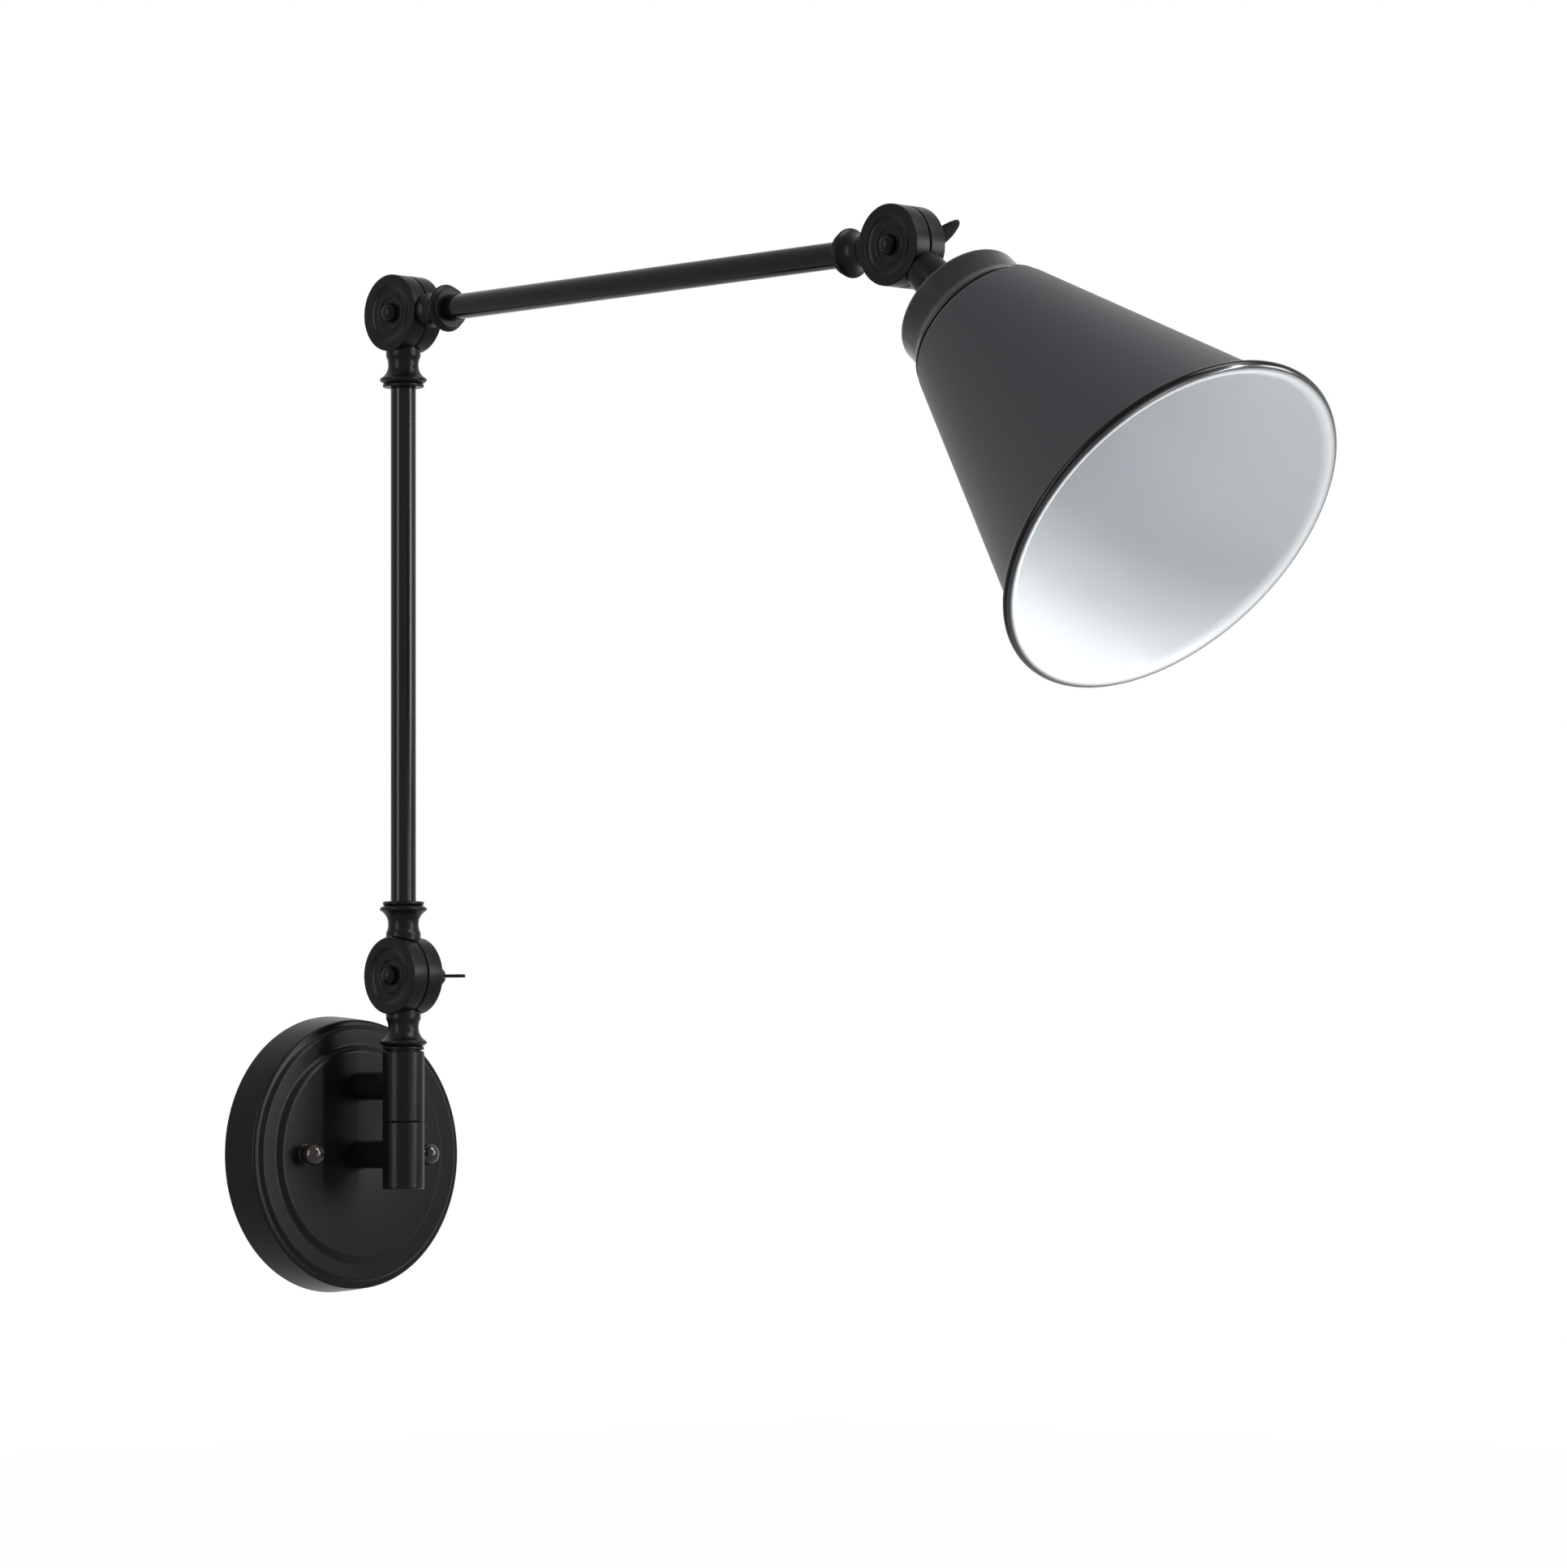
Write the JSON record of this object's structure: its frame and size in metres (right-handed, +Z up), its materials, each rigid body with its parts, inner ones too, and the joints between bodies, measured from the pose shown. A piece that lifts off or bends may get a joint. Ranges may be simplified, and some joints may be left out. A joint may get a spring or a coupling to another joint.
{
  "type": "articulating wall lamp",
  "caption": "Swing arm wall lamp: round wall canopy, swivel sleeve, two tube arms with three clamped knuckle joints, and a cone shade with a screw lamp holder.",
  "frame": {"origin": "middle of the canopy's back, on the wall", "axes": "+Z up, +Y into the wall, so the lamp reaches out along -Y; +X to the right for a person facing the wall"},
  "size_m": [0.1586, 0.5592, 0.4474],
  "materials": {
    "black_paint": "satin",
    "cap_nut_lacquer": "gloss",
    "shade_paint": "matte",
    "zinc_steel": "bright",
    "earth_green": "satin",
    "brass": "bright",
    "fibre": "matte",
    "porcelain": "gloss",
    "white_ring": "gloss"
  },
  "bodies": {
    "root": {"canopy": "black_paint", "mounting_bracket": "zinc_steel", "canopy_studs": "zinc_steel", "stud_lock_nuts": "zinc_steel", "canopy_cap_nuts": "cap_nut_lacquer", "ground_screw": "earth_green", "lower_post": "black_paint", "upper_post": "black_paint", "post_nuts": "zinc_steel", "post_grub_screws": "black_paint", "lower_sleeve": "black_paint", "upper_sleeve": "black_paint"},
    "swivel": {"swivel_spindle": "zinc_steel", "thrust_washer": "black_paint", "spindle_washer": "zinc_steel", "spindle_nut": "zinc_steel", "lower_knuckle_front": "black_paint", "lower_clamp_bolt": "black_paint", "lower_friction_washer": "fibre"},
    "lower_arm": {"lower_knuckle_back": "black_paint", "lower_clamp_washer": "black_paint", "lower_arm_tube": "black_paint", "elbow_front": "black_paint", "elbow_clamp_bolt": "black_paint", "elbow_friction_washer": "fibre"},
    "upper_arm": {"elbow_back": "black_paint", "elbow_clamp_washer": "black_paint", "upper_arm_tube": "black_paint", "head_knuckle_front": "black_paint", "head_clamp_bolt": "black_paint", "head_friction_washer": "fibre"},
    "head": {"head_knuckle_back": "black_paint", "head_clamp_washer": "black_paint", "head_nipple": "zinc_steel", "nipple_nut": "zinc_steel", "shade_cap": "shade_paint", "shade": "shade_paint", "lamp_holder": "porcelain", "screw_shell": "brass", "centre_contact": "brass", "shade_ring": "white_ring"},
    "lower_wing": {"lower_wing_nut": "black_paint"},
    "elbow_wing": {"elbow_wing_nut": "black_paint"},
    "head_wing": {"head_wing_nut": "black_paint"}
  },
  "joints": [
    {"name": "base_swivel", "type": "hinge", "parent": "root", "child": "swivel", "pos_m": [0, -0.0485, 0], "axis": [0, 0, 1], "range_deg": [-90, 90]},
    {"name": "lower_tilt", "type": "hinge", "parent": "swivel", "child": "lower_arm", "pos_m": [0, -0.0485, 0.078], "axis": [1, 0, 0], "range_deg": [-5, 100]},
    {"name": "elbow_tilt", "type": "hinge", "parent": "lower_arm", "child": "upper_arm", "pos_m": [0, -0.0485, 0.3695], "axis": [-1, 0, 0], "range_deg": [-35, 90]},
    {"name": "head_tilt", "type": "hinge", "parent": "upper_arm", "child": "head", "pos_m": [0, -0.3585, 0.3695], "axis": [1, 0, 0], "range_deg": [-130, 60]},
    {"name": "lower_wing_turn", "type": "hinge", "parent": "swivel", "child": "lower_wing", "pos_m": [0, -0.0485, 0.078], "axis": [1, 0, 0], "continuous": true},
    {"name": "elbow_wing_turn", "type": "hinge", "parent": "lower_arm", "child": "elbow_wing", "pos_m": [0, -0.0485, 0.3695], "axis": [1, 0, 0], "continuous": true},
    {"name": "head_wing_turn", "type": "hinge", "parent": "upper_arm", "child": "head_wing", "pos_m": [0, -0.3585, 0.3695], "axis": [1, 0, 0], "continuous": true}
  ]
}
